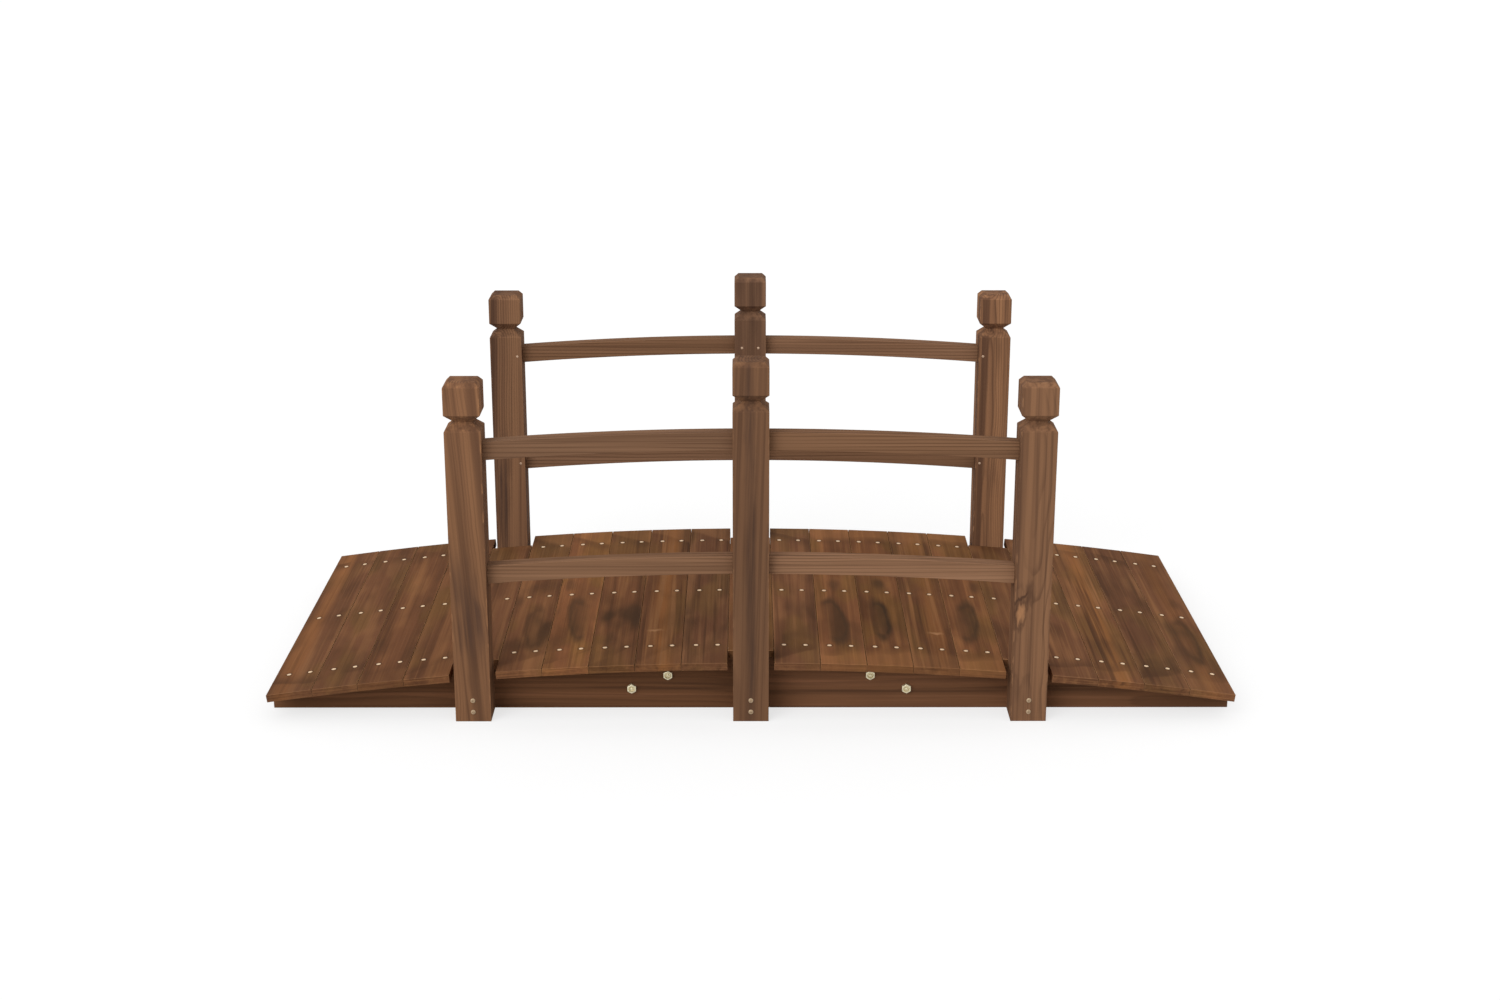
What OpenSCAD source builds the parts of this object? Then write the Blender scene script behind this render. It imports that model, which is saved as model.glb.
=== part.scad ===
// Arched garden bridge of stained softwood: a boarded deck on three bolted stringers,
// with three posts and two arched rails along each side.
// Millimetres. X runs along the bridge, Y across it from the front to the rear, Z up from the ground.

/* [Bridge] */
// Length over the ends of the stringers
bridge_l = 1500; // [1300:10:2000]
// Width over the outer faces of the posts
bridge_w = 670; // [500:5:1000]
// Rise of the arch from the bridge's ends to its crown
arch_rise = 53.5; // [30:0.5:90]

/* [Deck] */
// Number of boards, odd so that one of them lies on the crown
board_count = 21; // [19:2:25]
// Thickness of a board
board_t = 12; // [8:0.5:20]
// Gap between neighbouring boards
board_gap = 0.5; // [0.4:0.1:5]
// Eased corner along each board's upper long edges
board_easing = 0.6; // [0.4:0.1:3]
// Distance that the long boards stop short of the posts' outer faces
board_setback = 2.5; // [0.5:0.5:10]
// Clearance between a short board's end and the post beside it
board_end_gap = 0.8; // [0.3:0.1:4]

/* [Stringers] */
// Thickness of a stringer
stringer_t = 38; // [25:1:60]
// Height of a stringer at the bridge's ends
stringer_end_h = 30.5; // [20:0.5:60]
// Distance of the joint between a stringer's halves from the crown
stringer_joint_x = 28.5; // [-150:0.5:150]

/* [Splice plates] */
// Length of a splice plate
splice_l = 500; // [300:10:600]
// Thickness of a splice plate
splice_t = 20; // [12:1:40]
// Height of a splice plate's lower edge above the ground
splice_ground_gap = 10; // [4:1:20]
// Depth of a splice plate's upper edge below the stringer's crown
splice_deck_gap = 14; // [10:1:25]

/* [Posts] */
// Side of the square posts
post_side = 55; // [40:1:70]
// Height of the centre posts
centre_post_h = 570.5; // [520:0.5:800]
// Height of the end posts
end_post_h = 539.5; // [490:0.5:760]
// Number of board pitches from one post to the next
post_step = 6; // [5:1:8]

/* [Post heads] */
// Height of the cap over the neck groove
cap_h = 49.5; // [30:0.5:60]
// Inset of the bevel around the cap's top
cap_bevel = 6.5; // [2:0.5:12]
// Height of the bevel around the cap's top
cap_bevel_h = 7; // [2:0.5:15]
// Depth of the neck groove
neck_depth = 13.5; // [4:0.5:16]
// Height of the groove's flank under the cap
neck_flank_h = 12; // [3:0.5:16]
// Height of the groove's flat bottom
neck_flat_h = 1; // [0.5:0.1:6]
// Height of the sloping shoulder under the groove
shoulder_h = 12; // [6:0.5:25]

/* [Rails] */
// Height of a rail's section
rail_h = 28; // [20:1:50]
// Thickness of a rail's section
rail_t = 24; // [15:1:36]
// Height of the upper rail's top at the crown
upper_rail_z = 460.5; // [350:1:480]
// Height of the lower rail's top at the crown
lower_rail_z = 264.5; // [180:1:310]

/* [Hidden] */
stringer_crown = stringer_end_h + arch_rise;
stringer_r = (pow(bridge_l / 2, 2) + pow(arch_rise, 2)) / (2 * arch_rise);
arch_centre_z = stringer_crown - stringer_r;
deck_r = stringer_r + board_t;

board_angle = 2 * asin(bridge_l / 2 / deck_r) / board_count;
board_w = 2 * stringer_r * sin(board_angle / 2) - board_gap;
crown_board = (board_count + 1) / 2;

post_x = deck_r * sin(post_step * board_angle);
post_y = bridge_w / 2 - post_side / 2;
post_back_y = bridge_w / 2 - post_side;
stringer_y = post_back_y - stringer_t / 2;

// Facets of the arcs and the length by which cutting shapes overshoot
arch_facets = 1440;
overshoot = 5;

SIDES = ["front", "rear"];
ROWS = ["front", "middle", "rear"];
HALVES = ["left", "right"];
PLACES = ["left", "centre", "right"];
LEVELS = ["upper", "lower"];

function board_name(i) = str("deck_plank_", i < 10 ? "0" : "", i);
function stringer_name(row, half) = str(row, "_stringer_", half);
function splice_name(row) = str(row, "_splice_plate");
function post_name(side, place) = str(side, "_", place, "_post");
function rail_name(side, half, level) = str(side, "_", half, "_", level, "_rail");

function row_sign(row) = row == "front" ? -1 : row == "rear" ? 1 : 0;
function place_sign(place) = place == "left" ? -1 : place == "right" ? 1 : 0;
function is_short(i) = abs(i - crown_board) == post_step || i == crown_board;

// A solid cylinder along Y whose top line is the arch at a crown height
module arch_body(r, crown_z, y_mid, width)
    translate([0, y_mid + width / 2, crown_z - r])
        rotate([90, 0, 0])
            cylinder(r = r, h = width, $fn = arch_facets);

// One half of a stringer: flat underneath, cut to the arch on top
module stringer(row, half) {
    y_mid = row_sign(row) * stringer_y;
    x_low = half == "left" ? -bridge_l / 2 : stringer_joint_x;
    x_high = half == "left" ? stringer_joint_x : bridge_l / 2;
    color("#5a3c2a")
        intersection() {
            translate([x_low, y_mid - stringer_t / 2, 0])
                cube([x_high - x_low, stringer_t, stringer_crown + overshoot]);
            arch_body(stringer_r, stringer_crown, y_mid, stringer_t + 2 * overshoot);
        }
}

// The plate that joins a stringer's halves, on the face that is turned to the bridge's middle
module splice_plate(row) {
    face_y = stringer_t / 2;
    y_low = row == "rear" ? stringer_y - face_y - splice_t
        : row == "front" ? face_y - stringer_y
        : face_y;
    color("#5a3c2a")
        translate([stringer_joint_x - splice_l / 2, y_low, splice_ground_gap])
            cube([splice_l, splice_t, stringer_crown - splice_deck_gap - splice_ground_gap]);
}

// Section of a deck board, with its upper corners eased
module board_section()
    polygon([
        [-board_w / 2, 0],
        [board_w / 2, 0],
        [board_w / 2, board_t - board_easing],
        [board_w / 2 - board_easing, board_t],
        [board_easing - board_w / 2, board_t],
        [-board_w / 2, board_t - board_easing]
    ]);

// A flat board laid square on the arch; those between two posts are short
module deck_board(i) {
    length = is_short(i) ? 2 * (post_back_y - board_end_gap) : bridge_w - 2 * board_setback;
    color("#6e4c34")
        translate([0, 0, arch_centre_z])
            rotate([0, (i - crown_board) * board_angle, 0])
                translate([0, length / 2, stringer_r])
                    rotate([90, 0, 0])
                        linear_extrude(length)
                            board_section();
}

// Right-hand side of a post's outline, from the ground up
function post_edge(height) = let (
    half = post_side / 2,
    cap_z = height - cap_h,
    neck_z = cap_z - neck_flank_h
) [
    [half, 0],
    [half, neck_z - neck_flat_h - shoulder_h],
    [half - neck_depth, neck_z - neck_flat_h],
    [half - neck_depth, neck_z],
    [half, cap_z],
    [half, height - cap_bevel_h],
    [half - cap_bevel, height]
];

function mirrored(points) = [for (k = [len(points) - 1:-1:0]) [-points[k][0], points[k][1]]];

// The post's outline, extruded past the post's own width
module post_blank(height)
    translate([0, post_side / 2 + overshoot, 0])
        rotate([90, 0, 0])
            linear_extrude(post_side + 2 * overshoot)
                polygon(concat(post_edge(height), mirrored(post_edge(height))));

// A square post whose head is worked to the same outline on all four faces
module post(side, place) {
    height = place == "centre" ? centre_post_h : end_post_h;
    color("#75553e")
        translate([place_sign(place) * post_x, row_sign(side) * post_y, 0])
            intersection() {
                post_blank(height);
                rotate([0, 0, 90]) post_blank(height);
            }
}

// A rail cut to the deck's arch, let in between two neighbouring posts
module rail(side, half, level) {
    top_z = level == "upper" ? upper_rail_z : lower_rail_z;
    y_mid = row_sign(side) * post_y;
    length = post_x - post_side;
    x_low = half == "left" ? post_side / 2 - post_x : post_side / 2;
    color("#79583f")
        intersection() {
            translate([x_low, y_mid - rail_t / 2, 0])
                cube([length, rail_t, top_z + overshoot]);
            difference() {
                arch_body(deck_r, top_z, y_mid, rail_t + 2 * overshoot);
                arch_body(deck_r - rail_h, top_z - rail_h, y_mid, rail_t + 4 * overshoot);
            }
        }
}

for (row = ROWS) {
    for (half = HALVES)
        stringer(row, half);
    splice_plate(row);
}

for (i = [1:board_count])
    deck_board(i);

for (side = SIDES) {
    for (place = PLACES)
        post(side, place);
    for (half = HALVES, level = LEVELS)
        rail(side, half, level);
}
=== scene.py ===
"""Looks of an arched garden bridge: stained wood, nails, screws and bolts, and a studio stage."""

import math
import random

import bmesh
import bpy
from bpy.props import FloatProperty, FloatVectorProperty, PointerProperty
from mathutils import Matrix, Vector


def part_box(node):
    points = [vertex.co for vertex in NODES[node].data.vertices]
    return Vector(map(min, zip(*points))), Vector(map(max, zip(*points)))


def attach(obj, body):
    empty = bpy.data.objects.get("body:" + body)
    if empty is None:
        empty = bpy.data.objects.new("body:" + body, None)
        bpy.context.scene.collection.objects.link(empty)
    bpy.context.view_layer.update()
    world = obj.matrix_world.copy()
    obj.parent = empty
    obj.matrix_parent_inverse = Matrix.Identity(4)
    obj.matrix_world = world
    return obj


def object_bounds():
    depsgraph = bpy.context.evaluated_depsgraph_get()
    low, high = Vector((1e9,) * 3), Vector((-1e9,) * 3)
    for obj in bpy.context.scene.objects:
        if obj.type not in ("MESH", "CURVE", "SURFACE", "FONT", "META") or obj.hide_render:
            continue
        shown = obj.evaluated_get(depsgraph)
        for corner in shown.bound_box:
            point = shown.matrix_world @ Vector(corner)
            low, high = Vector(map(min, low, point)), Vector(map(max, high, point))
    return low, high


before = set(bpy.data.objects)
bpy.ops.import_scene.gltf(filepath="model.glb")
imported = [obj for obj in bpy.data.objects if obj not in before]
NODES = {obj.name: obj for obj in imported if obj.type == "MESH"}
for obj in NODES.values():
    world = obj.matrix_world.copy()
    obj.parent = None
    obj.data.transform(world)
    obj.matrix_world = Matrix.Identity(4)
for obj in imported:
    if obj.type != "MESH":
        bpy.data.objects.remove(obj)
CAD_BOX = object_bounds()

bl_info = {
    "name": "Garden Bridge",
    "version": (1, 0, 0),
    "blender": (4, 5, 0),
    "location": "3D View > Sidebar > Bridge",
    "description": "Stained wood, fasteners and a studio stage for an arched garden bridge",
    "category": "Object",
}

SEED = 11
BOARDS = sorted(name for name in NODES if name.startswith("deck_plank_"))
POSTS = sorted(name for name in NODES if name.endswith("_post"))
RAILS = sorted(name for name in NODES if name.endswith("_rail"))
STRINGERS = sorted(name for name in NODES if "_stringer_" in name)
PLATES = sorted(name for name in NODES if name.endswith("_splice_plate"))
ROWS = ("front", "middle", "rear")

# Lengths of the fasteners' small parts in metres
HEAD_SINK = 0.0004
NAIL_RISE = 0.0003
RAIL_NAIL_RISE = 0.0006
SCREW_RISE = 0.0016
RECESS_WIDTH = 0.0011
RECESS_FLOOR = 0.0004
WASHER_SINK = 0.0002
WASHER_THICKNESS = 0.0014
THREAD_PITCH = 0.00125
THREAD_START = 0.004
THREAD_OVERHANG = 0.005

# Sizes of a screw's recess, a bolt's shank and its washer as shares of the head
RECESS_SHARE = 0.3
RECESS_TAPER = 0.7
SHANK_SHARE = 0.55
WASHER_SHARE = 1.45

# Angles from which an edge is sanded round or shown sharp
SANDED_ANGLE = math.radians(30)
SHARP_ANGLE = math.radians(32)

# Half the floor's side, the width of the soft edge of its part under the bridge, and the camera's sensor
FLOOR_REACH = 40
FLOOR_SOFT_EDGE = 0.03
SENSOR_WIDTH = 36

# Distance in the noise between two pieces' cuts of the grain, and the gloss of the stain
SEED_SPREAD = (41, 29, 17)
WOOD_GLOSS = 0.02

# Painted light on the boards: their brightness at the crown, which offsets the rails' and posts' shadows on
# the middle boards, and its loss towards the bridge's ends
CROWN_PAINTED_LIGHT = 1.07
PAINTED_LIGHT_END_LOSS = 0.13

# Places and sizes of the marks on a board in metres from its middle: along it, or across and along it
OVAL_PLACE = 0.13
OVAL_SIZE = (0.018, 0.1)
SMUDGE_PLACE = (0.014, 0.17)
SMUDGE_SIZE = (0.011, 0.034)
PALE_FROM = 0.255
PALE_TO = 0.295
DARK_BORDER = (0.235, 0.285, 0.293)
SCRATCH_PLACE = 0.185
SCRATCH_WIDTH = (0.0015, 0.007)
# Inner and outer radius of the dark rim round each nail, partly stain and partly painted shade
NAIL_RIM = (0.003, 0.008)
# Distances from a board's middle over which the painted highlight on its upper edges weakens towards the ends
EDGE_HIGHLIGHT_FROM = 0.325
EDGE_HIGHLIGHT_TO = 0.332

# A knot's size, the reach of the grain's bend round it and the size of the shade over it, in metres
# across, into and along the post, and the places of the shade and the crack beside and above the knot
KNOT_SIZE = (0.0066, 0.012, 0.018)
KNOT_REACH = (0.018, 0.02, 0.07)
KNOT_REACH_DROP = 0.02
KNOT_SHADE_SIZE = (0.007, 0.02, 0.018)
KNOT_SHADE_PLACE = (0.013, 0.034)
CRACK_HEIGHT = 0.025

# Width of a post's chipped edges, which also carry a faint painted highlight, and the depth below the top of
# the painted highlight on its cap
EDGE_WIDTH = 0.003
CAP_FROM = 0.065
CAP_TO = 0.05

# Strength of each mark on the boards that have it, by the boards' numbers
BOARD_MARKS = {
    "oval": {6: 0.6, 7: 0.85, 13: 0.9, 14: 1.1, 16: 0.9, 20: 0.3, 21: 0.75},
    "oval_shift": {6: 0.006, 7: 0.011},
    "blotched": {6: 0.5, 7: 0.2, 8: 0.7, 10: 0.5, 12: 0.25, 20: 0.8, 21: 0.4},
    "orange": {1: 0.85, 9: 1.0, 15: 0.5, 19: 0.8, 21: 0.5},
    "streaky": {8: 0.5, 9: 1.2, 10: 0.8, 15: 1.1, 18: 0.8, 19: 1.2, 20: 0.8},
    "scratched": {9: 1.0, 15: 1.0},
    "end_darkness": {1: 0.24, 2: 0.06, 3: 0.36, 4: 0.05, 7: 0.2, 8: 0.34, 10: 0.1, 18: 0.25},
    "end_shade": {
        1: 0.05, 2: 0.05, 3: 0.05, 4: 0.05, 6: 0.05, 7: 0.15, 10: 0.1, 12: 0.35, 13: 0.45, 14: 0.45,
        15: 0.25, 16: 0.4, 18: 0.2, 19: 0.3, 20: 0.12,
    },
}
SLANTED_ENDS = {2: 0.5, 4: 0.9, 6: 0.7, 7: 0.8, 8: 1.0, 9: 0.8, 10: 0.9, 12: 0.6, 20: 0.5}
PALE_ENDS = {
    1: 0.0, 2: 0.0, 3: 0.0, 4: 0.0, 6: 0.12, 7: 0.0, 8: 0.0, 9: 0.16, 10: 0.06, 12: 0.05,
    13: 0.28, 14: 0.45, 15: 0.35, 16: 0.42, 18: 0.0, 19: 0.08, 20: 0.0, 21: 0.12,
}
PALE_REAR_ENDS = {6: 0.4, 7: 0.2, 8: 0.35, 9: 0.35, 10: 0.35, 12: 0.12, 13: 0.32}

# Strength of each mark on most posts, and on the posts that differ
POST_MARKS = {
    "lined": (1.0, {
        "front_left_post": 0.6,
        "front_centre_post": 0.12,
        "front_right_post": 0.75,
        "rear_centre_post": 0.2,
    }),
    "streaky": (0.35, {
        "front_left_post": 0.28,
        "front_centre_post": 0.2,
        "front_right_post": 0.45,
        "rear_left_post": 0.4,
        "rear_right_post": 0.75,
    }),
    # Strength of the painted highlight on the posts' caps
    "cap_tint": (0.08, {"front_left_post": 0.09, "front_centre_post": 0.0, "rear_centre_post": 0.1}),
    # Strength of the change from darker at the foot to lighter at the top
    "faded": (0.0, {"front_left_post": 0.15, "front_centre_post": 0.1}),
}

# Knots' places from the posts' middles, and dark flames' places, sizes, and lean, sway and strength
FAR_AWAY = (0.0, 0.0, 9.0)
KNOTS = {
    "front_right_post": (-0.0185, -0.0275, -0.0935),
    "front_left_post": (0.008, 0.0275, 0.060),
    "rear_centre_post": (-0.006, 0.0275, -0.120),
}
NO_FLAME = (FAR_AWAY, (0.01, 0.01, 0.01), (0.0, 0.0, 0.0))
FLAMES = {
    "front_left_post": ((-0.002, -0.0275, -0.085), (0.024, 0.04, 0.08), (0.15, 0.05, 0.54)),
    "front_centre_post": ((-0.001, -0.0275, 0.0), (0.008, 0.03, 0.4), (0.0, 0.012, 0.55)),
    "rear_left_post": ((-0.010, -0.0275, -0.1), (0.010, 0.03, 0.1), (0.0, 0.02, 0.7)),
    "rear_right_post": ((0.010, 0.0275, -0.1), (0.014, 0.04, 0.055), (0.15, 0.07, 0.8)),
}


def by_board(values):
    """Values by the boards' numbers turned into values by the boards' names."""
    return {f"deck_plank_{number:02}": value for number, value in values.items()}


# Slope of the grain, brightness and saturation of the pieces that differ from their kind
GRAIN_SLOPES = {"front_left_post": 0.065, "front_centre_post": -0.03, "rear_left_post": -0.03}
TONES = {
    "front_left_post": 1.01,
    "front_centre_post": 0.76,
    "front_right_post": 0.91,
    "rear_left_post": 0.82,
    "rear_centre_post": 0.75,
    "rear_right_post": 1.06,
    "rear_right_upper_rail": 1.22,
    "front_right_lower_rail": 1.28,
    "front_left_lower_rail": 1.13,
    "front_stringer_left": 0.93,
    "front_stringer_right": 1.08,
    **by_board({
        2: 0.95, 3: 0.97, 4: 0.97, 5: 0.9, 6: 0.98, 7: 1.37, 8: 0.96, 9: 0.81, 10: 0.82, 12: 1.05, 13: 1.2,
        14: 1.0, 15: 0.95, 16: 1.17, 18: 1.1, 19: 1.12, 20: 0.91,
    }),
}
WARMTHS = {
    "front_centre_post": 0.98,
    "rear_centre_post": 0.93,
    "rear_left_post": 0.97,
    **by_board({7: 1.04, 10: 0.983, 13: 1.032, 14: 1.035, 16: 1.03}),
}


def middle(name):
    """Centre of a CAD node's box."""
    low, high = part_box(name)
    return (low + high) / 2


def linear(red, green, blue):
    """Scene-linear colour of an sRGB colour given in 8-bit steps."""
    shares = [value / 255 for value in (red, green, blue)]
    return [share / 12.92 if share <= 0.04045 else ((share + 0.055) / 1.055) ** 2.4 for share in shares]


def colour(name, description, red, green, blue):
    """A colour property with an sRGB default."""
    return FloatVectorProperty(
        name=name, description=description, subtype="COLOR", size=3, min=0, max=1,
        default=linear(red, green, blue),
    )


def length(name, description, millimetres):
    """A length property with a default in millimetres."""
    return FloatProperty(
        name=name, description=description, default=millimetres / 1000, min=0, unit="LENGTH", precision=4
    )


class BridgeWood(bpy.types.PropertyGroup):
    """Colours and figure of the stained wood."""

    deck_colour: colour("Deck", "Main colour of the deck boards", 111, 73, 50)
    deck_dark: colour("Deck, dark", "Colour of the boards' dark streaks", 80, 53, 36)
    deck_light: colour("Deck, light", "Colour of the boards' pale streaks and ends", 142, 98, 64)
    deck_olive: colour("Deck, olive", "Colour of the boards' yellowish patches", 109, 78, 46)
    deck_orange: colour("Deck, orange", "Colour of the bands along some boards", 150, 98, 58)
    # Also the colour of the painted shade round the nails
    deck_scorch_and_shade: colour("Deck, scorched", "Colour of the boards' scorched ovals", 64, 47, 34)
    # Colour of the painted highlight on the boards' upper edges, and of the pale scratches
    deck_highlight_and_scratch: colour("Deck, edges", "Colour of the boards' worn upper edges", 180, 134, 95)
    post_colour: colour("Posts", "Main colour of the posts", 127, 91, 66)
    post_dark: colour("Posts, dark", "Colour of the posts' late wood", 85, 60, 46)
    # Also the colour of the faint painted highlight on the posts' edges
    post_pale_and_highlight: colour("Posts, light", "Colour of the posts' pale streaks", 149, 108, 77)
    post_flame: colour("Posts, flames", "Colour of the posts' dark flames", 82, 61, 51)
    knot_colour: colour("Knots", "Colour of the posts' knots", 170, 122, 84)
    rail_colour: colour("Rails", "Main colour of the rails", 122, 90, 67)
    rail_dark: colour("Rails, dark", "Colour of the rails' late wood", 92, 66, 49)
    # Also the colour of the painted highlight on the rails' rounded edges
    rail_pale_and_highlight: colour("Rails, light", "Colour of the rails' pale streaks", 140, 105, 80)
    stringer_colour: colour("Stringers", "Main colour of the stringers and splice plates", 111, 75, 51)
    stringer_dark: colour("Stringers, dark", "Colour of the stringers' late wood", 75, 51, 36)
    # Also the colour of the painted highlight on the stringers' rounded edges
    stringer_pale_and_highlight: colour("Stringers, light", "Colour of the stringers' pale streaks", 134, 91, 64)
    edge_radius: length("Edge radius", "Radius of the sanded edges", 0.7)


class BridgeFasteners(bpy.types.PropertyGroup):
    """Sizes and colours of the nails, screws and bolts."""

    nail_head: length("Deck nail head", "Diameter of a deck nail's head", 7.0)
    nail_pair: length("Deck nail spacing", "Distance between the two nails of a board on one stringer", 34)
    nail_drift: length("Deck nail drift", "Distance of nails from a board's middle towards the crown", 2.6)
    nail_shifts: FloatVectorProperty(
        name="Deck nail rows", description="Distance of each row of deck nails behind its stringer's middle",
        size=3, unit="LENGTH", default=(0.007, 0.0005, 0.004),
    )
    rail_nail_head: length("Rail nail head", "Diameter of the nails at the rails' ends", 4.4)
    rail_nail_inset: length("Rail nail inset", "Distance of an end post's rail nail from its edge", 7.5)
    rail_nail_pair: length("Rail nail spacing", "Distance between a centre post's two rail nails", 28.6)
    screw_head: length("Foot screw head", "Diameter of the screws at the posts' feet", 7.6)
    screw_low: length("Lower foot screw", "Height of the lower foot screw", 16)
    screw_high: length("Upper foot screw", "Height of the upper foot screw", 35)
    bolt_flats: length("Bolt head", "Width of a bolt head across its flats", 13.4)
    bolt_head: length("Bolt head height", "Height of a bolt head", 6.2)
    bolt_inner: length("Inner bolts", "Distance of the inner bolts from the stringer's joint", 158.4)
    bolt_outer: length("Outer bolts", "Distance of the outer bolts from the stringer's joint", 215.3)
    bolt_inner_z: length("Inner bolt height", "Height of the inner bolts", 56.5)
    bolt_outer_z: length("Outer bolt height", "Height of the outer bolts", 33.8)
    nail_colour: colour("Nails", "Colour of the nail heads", 226, 193, 153)
    rail_nail_colour: colour("Rail nails", "Colour of the nail heads at the rails' ends", 190, 160, 134)
    screw_colour: colour("Screws", "Colour of the foot screws' heads", 172, 147, 117)
    bolt_colour: colour("Bolts", "Colour of the bolts' zinc plating", 224, 213, 180)


class BridgeStage(bpy.types.PropertyGroup):
    """Camera and light."""

    eye: FloatVectorProperty(
        name="Camera place", description="Place of the camera", size=3, subtype="TRANSLATION", unit="LENGTH",
        default=(-0.0068, -3.4691, 1.3433),
    )
    pitch: FloatProperty(
        name="Camera pitch", description="Tilt of the camera below level", subtype="ANGLE",
        default=math.radians(17.425),
    )
    yaw: FloatProperty(
        name="Camera yaw", description="Turn of the camera to the right", subtype="ANGLE",
        default=math.radians(0.0985),
    )
    lens: FloatProperty(name="Lens", description="Focal length on a 36 mm wide sensor", default=52.53, min=1)
    key_height: FloatProperty(
        name="Key light height", description="Elevation of the key light", subtype="ANGLE",
        default=math.radians(30),
    )
    key_side: FloatProperty(
        name="Key light side", description="Turn of the key light to the left", subtype="ANGLE",
        default=math.radians(34),
    )
    key_spread: FloatProperty(
        name="Key light spread", description="Angular size of the key light", subtype="ANGLE",
        default=math.radians(40),
    )
    key_strength: FloatProperty(
        name="Key light", description="Strength of the key light", default=1.33, min=0
    )
    fill_strength: FloatProperty(
        name="Fill light", description="Strength of the light from all round", default=0.88, min=0
    )
    floor_glow: FloatProperty(
        name="Floor white", description="Share of plain white in the floor as the camera sees it",
        subtype="FACTOR", default=0.7, min=0, max=1,
    )


class Wire:
    """A shader socket that takes part in expressions; each operator adds a Math node."""

    def __init__(self, graph, socket):
        self.graph = graph
        self.socket = socket

    def __add__(self, other):
        return self.graph.math("ADD", self, other)

    __radd__ = __add__

    def __sub__(self, other):
        return self.graph.math("SUBTRACT", self, other)

    def __rsub__(self, other):
        return self.graph.math("SUBTRACT", other, self)

    def __mul__(self, other):
        return self.graph.math("MULTIPLY", self, other)

    __rmul__ = __mul__

    def __truediv__(self, other):
        return self.graph.math("DIVIDE", self, other)

    def __rtruediv__(self, other):
        return self.graph.math("DIVIDE", other, self)

    def __pow__(self, other):
        return self.graph.math("POWER", self, other)

    def __rpow__(self, other):
        return self.graph.math("POWER", other, self)

    def __abs__(self):
        return self.graph.math("ABSOLUTE", self)


class Graph:
    """A node tree that grows from expressions."""

    def __init__(self, owner):
        owner.use_nodes = True
        self.owner = owner
        self.tree = owner.node_tree
        self.tree.nodes.clear()

    def node(self, kind, settings=None, inputs=None, output=0):
        """Adds a node: first its settings, then the values or links of its sockets."""
        node = self.tree.nodes.new(kind)
        for name, value in (settings or {}).items():
            setattr(node, name, value)
        for key, value in (inputs or {}).items():
            if isinstance(value, Wire):
                self.tree.links.new(value.socket, node.inputs[key])
            else:
                node.inputs[key].default_value = value
        return Wire(self, node.outputs[output]) if node.outputs else None

    def math(self, operation, *values):
        """Adds a Math node."""
        return self.node("ShaderNodeMath", {"operation": operation}, dict(enumerate(values)))

    def vector(self, operation, *values):
        """Adds a Vector Math node."""
        return self.node("ShaderNodeVectorMath", {"operation": operation}, dict(enumerate(values)))

    def split(self, vector):
        """The three numbers of a vector."""
        return [self.node("ShaderNodeSeparateXYZ", None, {0: vector}, axis) for axis in "XYZ"]

    def smooth(self, value, low, high):
        """Soft step from 0 at low to 1 at high."""
        settings = {"interpolation_type": "SMOOTHSTEP"}
        return self.node("ShaderNodeMapRange", settings, {"Value": value, "From Min": low, "From Max": high})

    def band(self, value, low, peak, high):
        """Soft bump that rises from low to peak and falls again to high."""
        return self.smooth(value, low, peak) * (1 - self.smooth(value, peak, high))

    def blend(self, first, second, share):
        """Colour between two colours."""
        settings = {"data_type": "RGBA"}
        ends = [end if isinstance(end, Wire) else (*end, 1) for end in (first, second)]
        return self.node("ShaderNodeMix", settings, {0: share, 6: ends[0], 7: ends[1]}, 2)

    def attribute(self, name, output="Fac"):
        """A custom property of the object."""
        settings = {"attribute_type": "OBJECT", "attribute_name": name}
        return self.node("ShaderNodeAttribute", settings, output=output)

    def surface(self, shader):
        """Ends the tree in a shader."""
        kind = "World" if isinstance(self.owner, bpy.types.World) else "Material"
        self.node(f"ShaderNodeOutput{kind}", None, {"Surface": shader})


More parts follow.
